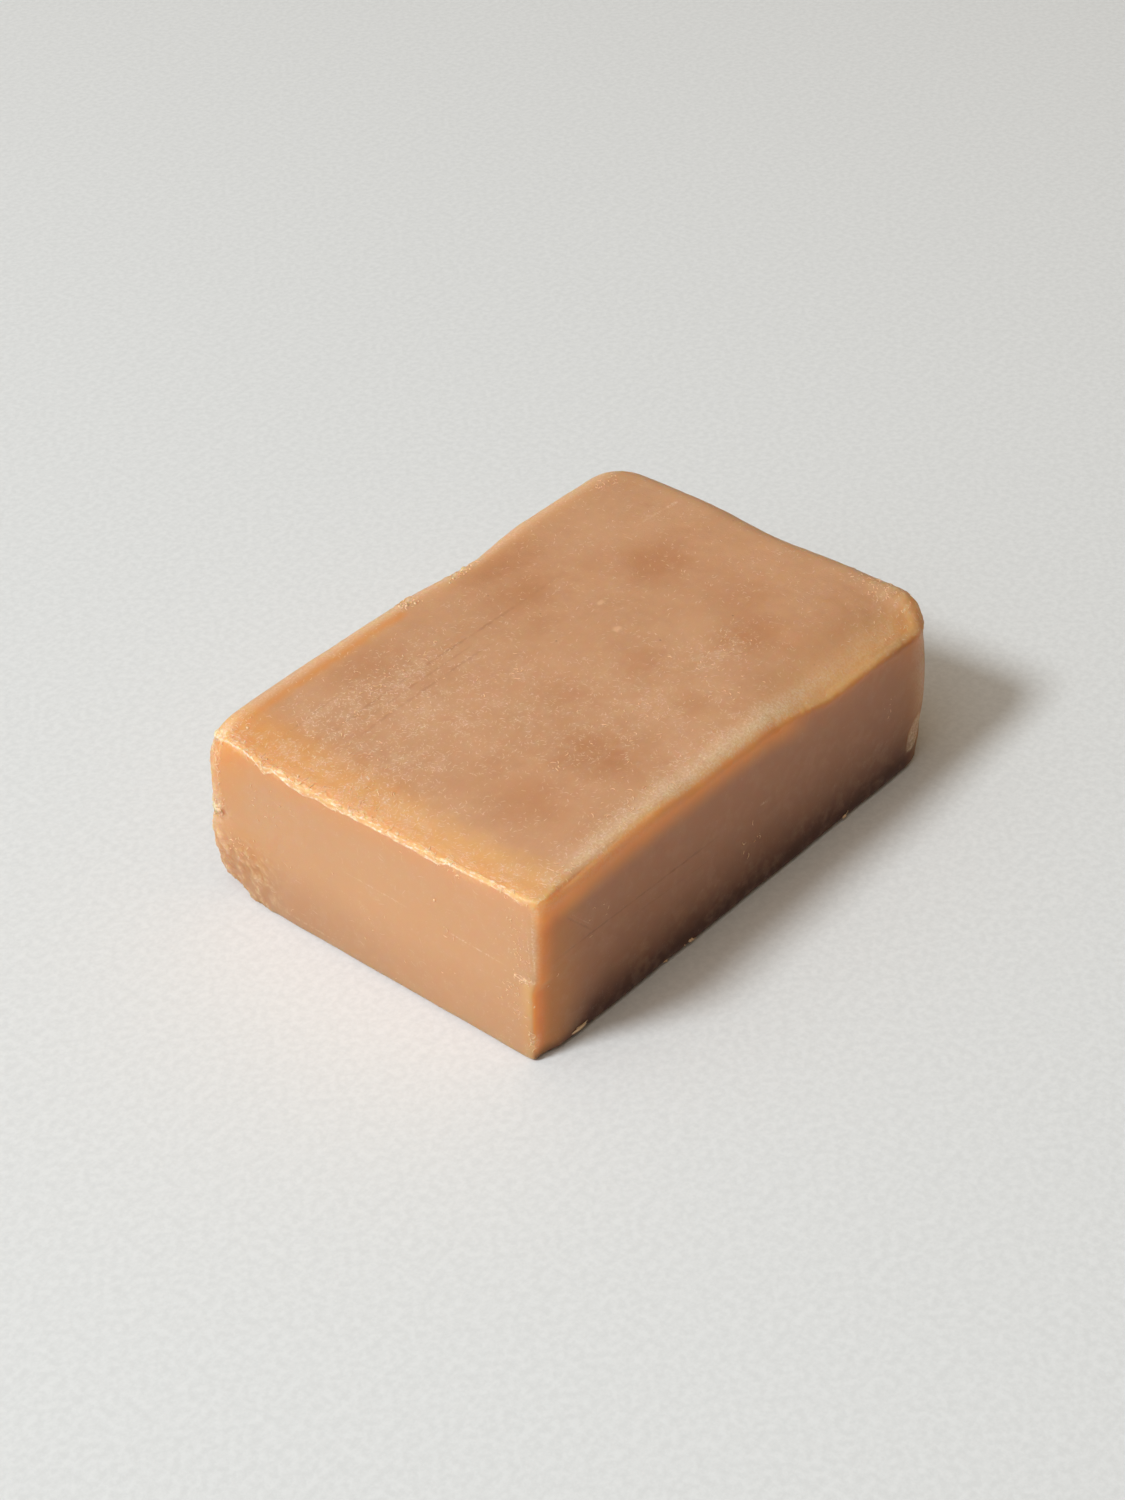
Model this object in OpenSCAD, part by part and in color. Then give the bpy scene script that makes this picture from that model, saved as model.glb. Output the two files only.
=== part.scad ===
// Hand-cut bar of soap: one solid block, cut by wire from a larger loaf.
// X runs along the bar, Y across it and Z up from the face it lies on.
// Left and right are the -X and +X ends, front and back the -Y and +Y sides.

/* [Bar] */
// Length of the bar between its two ends
bar_l = 80.5; // [60:0.5:110]
// Width of the bar between its front and back
bar_w = 53.8; // [40:0.2:75]
// Height of the bar at the middle of its top
bar_h = 25.4; // [18:0.2:36]
// How far the back side runs in towards the right end
taper = 1; // [0:0.1:3]

/* [Uneven top] */
// How far the top's front left corner lies below its middle
front_left_drop = 0.2; // [0:0.1:3]
// How far the top's front right corner lies below its middle
front_right_drop = 2; // [0:0.1:3]
// How far the top's back right corner lies below its middle
back_right_drop = 0.1; // [0:0.1:3]
// How far the top's back left corner lies below its middle
back_left_drop = 0.6; // [0:0.1:3]
// How far the left end's top edge sags between its corners
left_sag = 1.8; // [0:0.1:3]
// Height of the ridge that the cut raised along the left end's top edge
ridge_h = 0.35; // [0:0.05:0.8]
// Width of that ridge
ridge_w = 1.6; // [1:0.1:3]

/* [Pared front edge] */
// Distance from the left end at which the paring sets in most steeply
pare_at = 50.5; // [35:0.5:68]
// How much lower the paring makes the top at the front side
pare_depth = 4; // [0:0.1:4.5]
// Width of the pared slope across the top
pare_width = 10; // [7:0.5:14]
// Angle of the crisp turn where the pared edge meets the front side
pare_crease = 30; // [0:1:35]

/* [Top edges] */
// Rounding of the front top edge where it starts, at the left end
front_edge_start_r = 0.7; // [0.4:0.1:1.5]
// Rounding of the front top edge where it ends, at the right end
front_edge_end_r = 2.2; // [1:0.1:4.3]
// Rounding of the back top edge
back_edge_r = 2.6; // [0.4:0.1:2.6]
// Rounding of the left end's top edge
left_edge_r = 0.8; // [0.4:0.1:1.5]
// Rounding of the right end's top edge
right_edge_r = 3; // [0.4:0.1:4.3]

/* [Upright corners] */
// Rounding of the upright corner at the front left
front_left_r = 1.8; // [1.6:0.1:8]
// Rounding of the upright corner at the front right
front_right_r = 5; // [4.5:0.1:9]
// Rounding of the upright corner at the back right
back_right_r = 6; // [4.5:0.1:9]
// Rounding of the upright corner at the back left
back_left_r = 2.6; // [2.6:0.1:9]

/* [Uneven sides] */
// Depth of the dip in the back side, deepest at the top edge
back_dip = 1.2; // [0:0.1:3]
// Distance of that dip from the left end
back_dip_at = 48.3; // [35:0.1:55]
// Depth of the dip across the right end
right_dip = 1.3; // [0:0.1:3]
// Distance of that dip from the front side
right_dip_at = 24; // [18:0.5:36]
// How far the right end swells out between its base and its top
right_belly = 2.2; // [0:0.1:4]
// Rise and fall that the wire left across each face
cut_wave = 0.12; // [0:0.02:0.4]

/* [Base] */
// Rounding of the edges round the base
base_edge_r = 0.7; // [0.2:0.1:1.4]
// How far the base stands out past the top at the front side's left end
front_foot_start = -0.3; // [-1:0.1:3]
// How far the base stands out past the top at the front side's right end
front_foot_end = 1.9; // [-1:0.1:3]
// How far the base stands out past the top at the right end
right_foot = 0.7; // [-1:0.1:3]

/* [Step on the front left corner] */
// Height of the step above the base
step_z = 12.6; // [6:0.1:15]
// How far the corner is set back below the step
step_depth = 1.2; // [0.2:0.1:1.5]
// How far the set-back runs along the front side
step_run = 5; // [3:0.5:14]

/* [Broken lower corner] */
// Height that the break reaches at the back left corner
break_h = 8; // [3:0.1:11]
// How far the break runs along the left end's base
break_y = 10.4; // [3:0.1:14]
// How far the break runs along the back side's base
break_x = 5.6; // [3:0.1:12]
// Roughness of the broken surface
break_rough = 0.35; // [0:0.05:0.6]
// How far the wall swells out just above the break
break_swell = 0.6; // [0:0.05:1.2]

/* [Chip on the front right corner] */
// Height of the chip's middle above the base
chip_z = 4.8; // [3:0.1:12]
// Height of the chip from its lower to its upper rim
chip_h = 4.4; // [2:0.1:7]
// Depth of the chip
chip_depth = 0.4; // [0:0.05:1.4]

/* [Hidden] */

// Points along each long side, each short side and each corner
long_steps = 34;
short_steps = 24;
corner_steps = 6;
// Rings in the base edge, the wall, the top edge and across the top
base_rings = 3;
wall_rings = 12;
edge_rings = 6;
top_rings = 12;
// The rings across the top lie closer together towards the rim
rim_spacing = 1.6;
// The skin starts this far below the base and is cut flat there
base_cut = 1;
// Wavelengths of the cut's rise and fall, along and across the bar
wave_l = 46;
wave_w = 31;
// How far each feature reaches to either side of its own middle
back_dip_reach = 7.7;
right_dip_reach = 9;
swell_reach = 2.6;
step_fade = 0.7;
pare_lead = 7;
// Slope of the pared top where it meets the rounding
pare_slope = atan(2 * pare_depth / pare_width);

half = [bar_l, bar_w] / 2;

// Rises smoothly from 0 at a to 1 at b
function ramp(t, a, b) =
    let (s = min(max((t - a) / (b - a), 0), 1))
    s * s * (3 - 2 * s);

// A smooth hump of height 1 at the value at
function hump(t, at, reach) = exp(-pow((t - at) / reach, 2));

// Mixes what belongs to the four sides by the direction n that the wall faces
function by_side(n, front, right, back, left) =
    n.y * n.y * (n.y < 0 ? front : back) + n.x * n.x * (n.x < 0 ? left : right);

// Rounding of the front top edge, which grows from left to right
function front_edge(x) =
    front_edge_start_r + (front_edge_end_r - front_edge_start_r) * ramp(x, -half.x, half.x);

// Rounding of the top edge at the outline point p with the outward direction n
function edge_r(p, n) =
    by_side(n, front_edge(p.x), right_edge_r, back_edge_r, left_edge_r);

// How far the paring has set in along the front edge, from 0 to 1
function pared(x) = ramp(x + half.x, pare_at - pare_lead, pare_at + pare_lead);

// The rounding starts above the wall and stops below the top at these angles: it runs smoothly
// into both at 0 and 90 degrees, while the pared edge leaves the wall in a crisp line
function edge_start(p, n) = by_side(n, pare_crease * pared(p.x), 0, 0, 0);
function edge_stop(p, n) = 90 - by_side(n, pare_slope * pared(p.x), 0, 0, 0);
function edge_angle(p, n, i) =
    edge_start(p, n) + (edge_stop(p, n) - edge_start(p, n)) * i / edge_rings;

// How far the rounding lies in from the wall and below the top, at the angle a
function edge_inset(p, n, a) = edge_r(p, n) * (cos(edge_start(p, n)) - cos(a));
function edge_drop(p, n, a) = edge_r(p, n) * (sin(edge_stop(p, n)) - sin(a));

// Height of the top at the place p: the corners lie lower than the middle, the left edge sags
function corner_drop(p) =
    p.x < 0
    ? (p.y < 0 ? front_left_drop : back_left_drop)
    : (p.y < 0 ? front_right_drop : back_right_drop);
function top_z(p) =
    let (u = p.x / half.x, v = p.y / half.y)
    bar_h
    - corner_drop(p) * u * u * v * v
    - left_sag * max(1 - v * v, 0) * pow(max(-u, 0), 4)
    + cut_wave * cos(360 * p.y / wave_w) * cos(360 * p.x / wave_l)
    + ridge_h * hump(p.x, -half.x + left_edge_r, ridge_w / 2)
    - pare_depth * pared(p.x) * pow(max(1 - (p.y + half.y) / pare_width, 0), 2);

// Outline seen from above: a list of [point, outward direction]
function side_points(from, to, n, steps) =
    [for (i = [0:steps]) [from + (to - from) * i / steps, n]];
function corner_points(centre, r, start) =
    [for (i = [1:corner_steps - 1])
        let (a = start + 90 * i / corner_steps, n = [cos(a), sin(a)])
        [centre + r * n, n]];
outline = concat(
    side_points([-half.x + front_left_r, -half.y], [half.x - front_right_r, -half.y], [0, -1], long_steps),
    corner_points([half.x - front_right_r, -half.y + front_right_r], front_right_r, -90),
    side_points([half.x, -half.y + front_right_r], [half.x, half.y - back_right_r], [1, 0], short_steps),
    corner_points([half.x - back_right_r, half.y - back_right_r], back_right_r, 0),
    side_points([half.x - back_right_r, half.y], [-half.x + back_left_r, half.y], [0, 1], long_steps),
    corner_points([-half.x + back_left_r, half.y - back_left_r], back_left_r, 90),
    side_points([-half.x, half.y - back_left_r], [-half.x, -half.y + front_left_r], [-1, 0], short_steps),
    corner_points([-half.x + front_left_r, -half.y + front_left_r], front_left_r, 180)
);

// How far each side stands out from the plain block, at the point p and the height z
function front_shift(p, z) =
    let (foot = front_foot_start + (front_foot_end - front_foot_start) * (p.x / bar_l + 1 / 2))
    foot * (1 - z / bar_h)
    - step_depth * (1 - ramp(p.x, -half.x, -half.x + step_run))
    * (1 - ramp(z, step_z - step_fade, step_z));
function right_shift(p, z) =
    let (t = z / bar_h)
    right_foot * (1 - t) + right_belly * 4 * t * (1 - t)
    - right_dip * hump(p.y, -half.y + right_dip_at, right_dip_reach);
function back_shift(p, z) =
    -taper * p.x / bar_l
    - back_dip * hump(p.x, -half.x + back_dip_at, back_dip_reach) * ramp(z, 0, bar_h);

// Features that run round a corner, and the rise and fall of the cut
function swell_shift(p, z) =
    break_swell * hump(z, break_h + break_swell, swell_reach)
    * hump(p.x + half.x, 0, break_x) * hump(half.y - p.y, 0, break_y);
function chip_shift(p, z) =
    -chip_depth * hump(z, chip_z, chip_h / 2)
    * hump(half.x - p.x, 0, front_right_r) * hump(p.y + half.y, 0, front_right_r);
function wave_shift(p, z) = cut_wave * sin(360 * (p.x - p.y) / wave_l) * sin(360 * z / wave_w);
function wall_shift(p, n, z) =
    by_side(n, front_shift(p, z), right_shift(p, z), back_shift(p, z), 0)
    + swell_shift(p, z) + chip_shift(p, z) + wave_shift(p, z);

// Rough surface of the break: small lumps that follow no straight line
function lumps(u, z) =
    break_rough * (sin(95 * u + 60 * z) * cos(120 * z) + sin(210 * u) * cos(75 * z + 40)) / 2;

// Below break_h the back left corner is missing: what lies past the break moves back onto it
break_n = [-break_y, break_x] / norm([break_x, break_y]);
break_reach = break_x * break_y / norm([break_x, break_y]);
function broken(p, z) =
    let (
        low = min(max(1 - z / break_h, 0), 1),
        gone = break_reach * (1 - sqrt(1 - low * low)),
        along = p.x * break_n.y - p.y * break_n.x,
        limit = [-half.x, half.y] * break_n - gone + lumps(along, z) * ramp(low, 0, 0.3),
        past = p * break_n - limit
    )
    past > 0 && z < break_h ? p - past * break_n : p;

// One point of the skin: p is moved out by the wall's shape and in by the inset, at the height z
function wall_point(p, n, z, inset) =
    let (q = broken(p + (wall_shift(p, n, z) - inset) * n, z))
    [q.x, q.y, z];

// Height at which the rounded top edge meets the top, above the outline's entry o
function rim_z(o) = top_z(wall_point(o[0], o[1], bar_h, edge_inset(o[0], o[1], edge_stop(o[0], o[1]))));

// Rings from the base, over its rounded edge, up the wall and over the top edge
function base_ring(i) =
    let (a = 90 * i / base_rings)
    [for (o = outline) wall_point(o[0], o[1], base_edge_r * (1 - sin(a)), base_edge_r * (1 - cos(a)))];
function wall_ring(i) =
    [for (o = outline)
        let (top = rim_z(o) - edge_drop(o[0], o[1], edge_start(o[0], o[1])))
        wall_point(o[0], o[1], base_edge_r + (top - base_edge_r) * i / wall_rings, 0)];
function edge_ring(i) =
    [for (o = outline)
        let (a = edge_angle(o[0], o[1], i))
        wall_point(o[0], o[1], rim_z(o) - edge_drop(o[0], o[1], a), edge_inset(o[0], o[1], a))];

// Rings across the top draw in to its middle and follow its height
function top_ring(rim, i) =
    let (s = 1 - pow(i / (top_rings + 1), rim_spacing))
    [for (p = rim) [s * p.x, s * p.y, top_z(s * [p.x, p.y])]];

foot = [for (p = base_ring(base_rings)) [p.x, p.y, -base_cut]];
rim = edge_ring(edge_rings);
rings = concat(
    [foot],
    [for (i = [base_rings:-1:1]) base_ring(i)],
    [for (i = [0:wall_rings]) wall_ring(i)],
    [for (i = [1:edge_rings]) edge_ring(i)],
    [for (i = [1:top_rings]) top_ring(rim, i)]
);

// The bar is set so that the middle of its extent lies on the origin
skin_x = [for (r = rings, p = r) p.x];
skin_y = [for (r = rings, p = r) p.y];
middle = [min(skin_x) + max(skin_x), min(skin_y) + max(skin_y)] / 2;

// Solid between stacked rings of equal count, closed by a flat foot and a point on top
module skin() {
    count = len(outline);
    last = len(rings) - 1;
    apex = [0, 0, top_z([0, 0])];
    points = concat([for (r = rings, p = r) p], [apex]);
    foot_face = [[for (i = [0:count - 1]) i]];
    bands = [for (k = [0:last - 1], i = [0:count - 1], half_quad = [0, 1])
        let (j = (i + 1) % count, a = k * count, b = a + count)
        half_quad == 0 ? [a + i, b + j, a + j] : [a + i, b + i, b + j]];
    cap = [for (i = [0:count - 1])
        [last * count + i, len(points) - 1, last * count + (i + 1) % count]];
    polyhedron(points, concat(foot_face, bands, cap), convexity = 4);
}

// The bar: the rounded, uneven skin cut flat where it lies
module soap_bar() {
    color([0.80, 0.60, 0.44])
    translate([-middle.x, -middle.y, 0])
    intersection() {
        skin();
        translate([-bar_l, -bar_w, 0])
        cube([2 * bar_l, 2 * bar_w, 2 * bar_h]);
    }
}

soap_bar();
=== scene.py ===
import math

import bmesh
import bpy
import numpy as np
from mathutils import Matrix, Vector, noise
from mathutils.bvhtree import BVHTree


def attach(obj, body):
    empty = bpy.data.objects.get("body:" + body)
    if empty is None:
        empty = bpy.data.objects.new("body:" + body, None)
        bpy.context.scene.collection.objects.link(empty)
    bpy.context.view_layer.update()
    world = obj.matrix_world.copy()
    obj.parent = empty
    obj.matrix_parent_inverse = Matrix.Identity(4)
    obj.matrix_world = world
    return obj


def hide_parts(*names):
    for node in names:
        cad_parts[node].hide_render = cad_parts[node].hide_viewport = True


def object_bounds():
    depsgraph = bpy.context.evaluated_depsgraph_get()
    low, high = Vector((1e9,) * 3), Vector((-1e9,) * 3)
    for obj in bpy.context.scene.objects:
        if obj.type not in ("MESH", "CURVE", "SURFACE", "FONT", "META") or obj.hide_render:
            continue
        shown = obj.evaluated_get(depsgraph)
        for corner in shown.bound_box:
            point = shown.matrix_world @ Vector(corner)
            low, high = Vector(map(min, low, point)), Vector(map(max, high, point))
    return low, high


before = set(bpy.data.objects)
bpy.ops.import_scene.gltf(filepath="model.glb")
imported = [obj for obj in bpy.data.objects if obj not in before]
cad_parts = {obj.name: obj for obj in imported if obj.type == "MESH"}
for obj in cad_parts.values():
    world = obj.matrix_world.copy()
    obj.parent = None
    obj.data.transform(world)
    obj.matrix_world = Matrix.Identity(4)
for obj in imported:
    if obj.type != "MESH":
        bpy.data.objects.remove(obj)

scene = bpy.context.scene
cad_box = [list(corner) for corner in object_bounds()]

# Camera
# The bar is seen from beyond its front left corner, a little under forty degrees above the
# table, with a short telephoto lens held nearly level.
look_azimuth, look_elevation, look_roll = (math.radians(turn) for turn in (-50.317, 37.719, -0.548))
look_at, look_distance = Vector((0.001423, 0.005213, 0.006413)), 0.369189

look_back = Vector((
    math.sin(look_azimuth) * math.cos(look_elevation),
    -math.cos(look_azimuth) * math.cos(look_elevation),
    math.sin(look_elevation),
))
look_right = Vector((math.cos(look_azimuth), math.sin(look_azimuth), 0))
look_up = look_back.cross(look_right)
tilt = Matrix((look_right, look_up, look_back)).transposed() @ Matrix.Rotation(look_roll, 3, "Z")

camera = bpy.data.objects.new("camera", bpy.data.cameras.new("camera"))
camera.data.lens, camera.data.sensor_width = 67.347, 36
camera.location = look_at + look_back * look_distance
camera.rotation_euler = tilt.to_euler()
scene.collection.objects.link(camera)
scene.camera = camera

# Bar of soap
# One solid block of cold-made soap, cut by wire from a loaf and rubbed in handling. It is waxy
# and lets light in a few millimetres deep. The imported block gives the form, and its skin is
# remeshed here, pushed in and out for lip, hollows, burrs and crumbled corner, and coloured.
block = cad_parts["soap_bar"]
bar = bpy.data.objects.new("soap", block.data.copy())
scene.collection.objects.link(bar)

weld = bar.modifiers.new("weld", "WELD")
weld.merge_threshold = 1e-6
skin = bar.modifiers.new("skin", "REMESH")
skin.mode, skin.voxel_size = "VOXEL", 0.00044  # metres
hug = bar.modifiers.new("hug", "SHRINKWRAP")
hug.target = block
rub = bar.modifiers.new("rub", "SMOOTH")
rub.factor, rub.iterations = 0.5, 5
even = bpy.data.meshes.new_from_object(bar.evaluated_get(bpy.context.evaluated_depsgraph_get()))
bar.modifiers.clear()

# From here on the skin is worked in millimetres. Its underside is taken off until the end.
metre, flat_within = 1000, 0.03
wax = bmesh.new()
wax.from_mesh(even)
bmesh.ops.scale(wax, vec=(metre, metre, metre), verts=wax.verts)
underside = [f for f in wax.faces if all(v.co.z < flat_within for v in f.verts)]
bmesh.ops.delete(wax, geom=underside, context="FACES")


def work_finer(zone, cuts):
    """Splits the faces of the skin inside a zone, and evens out the new points."""
    faces = [f for f in wax.faces if zone(*f.calc_center_median())]
    edges = list({e for f in faces for e in f.edges})
    made = bmesh.ops.subdivide_edges(wax, edges=edges, cuts=cuts, use_grid_fill=True)
    fresh = [g for g in made["geom"] if isinstance(g, bmesh.types.BMVert) and g.co.z > 0.3]
    fresh = [v for v in fresh if all(len(f.verts) == 4 for f in v.link_faces)]
    for _ in range(2):
        bmesh.ops.smooth_vert(
            wax, verts=fresh, factor=0.5, use_axis_x=True, use_axis_y=True, use_axis_z=True
        )


# The left lip, the burrs on the back edge, the back and the front left corners, the flake at
# the front right, and the crease above the front side.
work_finer(lambda x, y, z: x < -38.6 and z > 21.4, 2)
work_finer(lambda x, y, z: y > 24.4 and z > 22.8 and -9 < x < 9, 1)
work_finer(lambda x, y, z: x < -38.5 and y > 23.2 and z < 21.4, 1)
work_finer(lambda x, y, z: x < -39.5 and y < -23.4 and z < 21.4, 1)
work_finer(lambda x, y, z: x > 31 and y < -20 and z < 9.5, 1)
work_finer(lambda x, y, z: x > -8 and y < -24 and 18.4 < z < 24.6, 1)

wax.normal_update()
surface = BVHTree.FromBMesh(wax)
spot = np.array([v.co for v in wax.verts])
out = np.array([v.normal for v in wax.verts])
x, y, z = spot.T


def ease(value, start, end):
    """0 before start, 1 past end, and smooth between them."""
    t = np.clip((value - start) / (end - start), 0, 1)
    return t * t * (3 - 2 * t)


def hump(value, middle, reach):
    """A smooth hump, 1 at its middle."""
    return np.exp(-(((value - middle) / reach) ** 2))


def grain(size, seed, octaves=3):
    """A rough value at each point of the skin, about -1 to 1."""
    shift = Vector((seed * 7.3, seed * 3.1, seed * 5.7))
    return np.array([noise.fractal(Vector(p) / size + shift, 0.7, 2.0, octaves) for p in spot])


def hit(start, way):
    """Where a ray first meets the skin."""
    return surface.ray_cast(Vector(start), Vector(way))[0]


# The rims of the top, found on the skin itself, and how far past each rim a point lies.
steps_y, steps_x = np.arange(-24, 24.1, 1), np.arange(-38, 33.1, 1)
far, end_level, side_level, in_from_end, in_from_front = 60, 20.5, 17, 1.6, 4.6
end_x = np.array([hit((-far, v, end_level), (1, 0, 0)).x for v in steps_y])
end_z = np.array([hit((e + in_from_end, v, far), (0, 0, -1)).z for e, v in zip(end_x, steps_y)])
front_y = np.array([hit((v, -far, side_level), (0, 1, 0)).y for v in steps_x])
front_z = np.array([hit((v, e + in_from_front, far), (0, 0, -1)).z for e, v in zip(front_y, steps_x)])
back_y = np.array([hit((v, far, side_level), (0, -1, 0)).y for v in steps_x])
right_x = np.array([hit((far, v, side_level), (-1, 0, 0)).x for v in steps_y])

past_end = (x - np.interp(y, steps_y, end_x)) + (z - np.interp(y, steps_y, end_z))
rim_y, rim_z = np.interp(x, steps_x, front_y), np.interp(x, steps_x, front_z)
past_front = (y - rim_y) + (z - rim_z)
from_back = np.interp(x, steps_x, back_y) - y
from_right = np.interp(y, steps_y, right_x) - x
top = ease(out[:, 2], 0.35, 0.8)
end, front = ease(-out[:, 0], 0.5, 0.85), ease(-out[:, 1], 0.5, 0.85)

coarse, middling, fine, crisp = grain(9, 1), grain(3, 2), grain(1.1, 3), grain(0.5, 4, 2)

# The wire leaves the faces a little uneven, and handling leaves shallow hollows on the top. Of
# each hollow: its place, its half width and half depth, and how deep it is beside the deepest.
lift = 0.05 * coarse + 0.03 * middling + 0.008 * fine
hollows = (
    (-19, 20, 6, 3, 0.6), (8, 21.5, 7, 3.5, 0.95), (6, 14.5, 6, 4.5, 0.85), (1.5, 8.5, 3.6, 2.6, 0.6),
    (22, 5.5, 6, 4.2, 1), (13.5, 11.5, 4.5, 3, 0.35), (-15.8, -14.4, 4.6, 5.2, 1),
    (-27.5, -13.5, 6, 5, 0.75), (-24, -6, 3.5, 2.6, 0.5), (-8.5, -1, 3.6, 4.5, 0.35),
    (2.5, -7, 3.4, 2.8, 0.55), (16.5, -14, 5.2, 4.8, 0.9), (22, -8, 6, 4.5, 0.6),
    (0, -16.8, 2.8, 2.2, 0.5), (-20, 4, 3, 2, 0.2),
)
deepest = 0.11
dent = np.zeros(len(x))
for hollow_x, hollow_y, half_x, half_y, deep in hollows:
    away_x, away_y = (x - hollow_x + 0.9 * middling) / half_x, (y - hollow_y - 0.9 * middling) / half_y
    dent = np.maximum(dent, deep * np.exp(-((away_x ** 2 + away_y ** 2) ** 1.3)))
dent = dent * top
lift -= deepest * dent

# The cut dragged a thin lip of soap over the left edge. It is torn along its lower side and
# doubled by a second fine ridge above it.
lip_low = np.interp(
    y,
    (-27, -24, -21.5, -14, -12.6, -11.6, -3, 3, 6, 8, 10, 12.5, 15, 16.6, 18, 21, 24, 26),
    (-0.6, -0.9, -0.25, -0.2, -0.1, -0.8, -0.6, -0.7, -1, -0.7, -1.1, -0.9, -0.2, -1.2, -0.3,
     0.3, 0.1, -0.2),
) + 0.16 * fine + 0.06 * crisp
lip_side = ease(-x, 34, 37) * ease(z, 20, 21.5) * ease(y, -26, -22.5)
past_lip = past_end - lip_low
lip = ease(past_lip, -0.1, 0.08) * (1 - ease(past_end, 0.4, 3)) * lip_side
lip_edge = hump(past_lip, 0.12, 0.15) * lip_side
ridge = hump(past_lip, 0.85 + 0.25 * middling, 0.2) * lip_side
curdled = ease(fine + 0.5 * middling + 0.5 * ease(y, -4, 8), 0.1, 0.6) * lip_side
lift += 0.08 * lip + 0.06 * lip_edge * (1 + fine) + 0.07 * ridge
lift -= 0.16 * hump(x, -40.5, 0.9) * ease(z, 23, 24.5)
lift -= 0.35 * hump(x, -41.6, 1.6) * hump(y, 26.4, 1.9) * ease(z, 16, 23)
worn_corner = hump(x, -41.5, 3) * hump(y, 27, 2.8) * ease(z, 19.5, 25)
lift += curdled * hump(past_end, 0.5, 0.9) * np.clip(0.18 * crisp + 0.1 * fine, -0.05, 0.2)

# The pared front edge ends in a crease above the side, at the highest point where the side is
# still upright. The crease wanders a little, and stands out as a fine bead.
crease_x, levels = np.arange(-38, 36.1, 1), np.arange(25, 16.9, -0.1)
crease_z = []
for v in crease_x:
    met = [hit((v, -far, level), (0, 1, 0)) for level in levels]
    wall = np.array([m.y if m else -20 for m in met])
    upright = wall[:-3] - wall[3:] < 0.1  # over three steps down
    crease_z.append(levels[np.argmax(upright)])
past_crease = z - np.interp(x, crease_x, crease_z)
faces_front = ease(-out[:, 1], 0.1, 0.4)
lift += 0.07 * middling * hump(past_crease, 0, 1.5) * faces_front
lift += 0.22 * hump(past_crease, 0.1, 0.5) * faces_front * ease(x, 2, 20) * (0.8 + 0.4 * fine)

# The left end of the top front edge is worn round, and its middle sags towards the slope.
worn_radius = 2
worn = worn_radius * (1 - ease(x, -18, -8)) * ease(x, -42, -34)
inside = np.clip(worn - (y - rim_y), 0, worn)
under = np.clip(worn - (rim_z - z), 0, worn)
lift -= np.maximum(np.hypot(inside, under) - worn, 0)
sag_most, sag_wide, sag_high = 1.3, 4.5, 3.5
to_edge = 1 - np.clip((y - rim_y) / sag_wide, 0, 1)
sag = sag_most * ease(x, -20, -12) * (1 - ease(x, 4, 16)) * to_edge ** 2
sag = sag * ease(z, rim_z - sag_high, rim_z)

# The front right corner stands a little proud at the top, and its foot is rubbed away.
lift += 0.85 * hump(x, 38.4, 3) * hump(y, -22.3, 3) * ease(z, 19, 22) * (1 + 0.2 * fine)
lift -= 0.6 * hump(x, 38, 3.5) * hump(y, -25, 3.5) * (1 - ease(z, 0.8, 3.6))

# The crumbled lower corner, the burrs on the back edge and the flake at the front right.
crumble = ease(-x, 33, 38) * ease(y, 14, 20) * (1 - ease(z, 8.5, 11))
lift += crumble * (0.22 * fine + 0.1 * crisp)
burr = hump(x, -5.6, 1.5) + hump(x, 4.2, 2.4)
lift += burr * (from_back < 2.5) * ease(z, 21.5, 23.5) * (0.3 * fine + 0.12 * crisp)
tear = hump(y, 26, 2.2) * hump(z, 13.1, 1.1) * ease(-x, 38.5, 40.5)
lift += tear * (0.35 * fine + 0.15 * crisp + 0.1)
back_post = ease(-x, 38.5, 40) * ease(y, 24.3, 25.1) * ease(z, 8, 11)
lift += back_post * np.clip(0.12 * fine + 0.08 * crisp + 0.04, -0.05, 0.2)
flake_in = np.hypot((x - 0.42 * (z - 5.2) - 34.9) / 1.8, (z - 5.2) / 2.6)
flake_in = flake_in + 0.1 * middling + 0.06 * fine
flake = (1 - ease(flake_in, 0.8, 1.02)) * (y < -20) * (out[:, 1] < 0)
lift += 0.12 * flake

# All of it moves the skin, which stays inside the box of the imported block.
worked = spot + out * lift[:, None] + worn_corner[:, None] * (0.8, -1.1, -0.9) - sag[:, None] * (0, 0, 1)
low, high = (np.array(corner) * metre for corner in cad_box)
hair = 0.002
worked = np.clip(worked, low + (hair, hair, 0), high - hair)
for v, new_spot in zip(wax.verts, worked):
    v.co = new_spot
for e in wax.edges:
    if e.is_boundary:
        for v in e.verts:
            v.co.z = 0
foot_high = 0.5
bmesh.ops.smooth_vert(
    wax, verts=[v for v in wax.verts if 0 < v.co.z < foot_high], factor=0.5,
    use_axis_x=True, use_axis_y=True, use_axis_z=True,
)
rim_edges = [e for e in wax.edges if e.is_boundary]
sole = bmesh.ops.contextual_create(wax, geom=rim_edges)["faces"]
for f in wax.faces:
    f.smooth = True
for f in sole:
    f.smooth = False
bmesh.ops.triangulate(wax, faces=sole)
bmesh.ops.scale(wax, vec=(1 / metre, 1 / metre, 1 / metre), verts=wax.verts)
bar_mesh = bpy.data.meshes.new("soap")
wax.to_mesh(bar_mesh)
wax.free()
bar.data = bar_mesh

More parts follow.
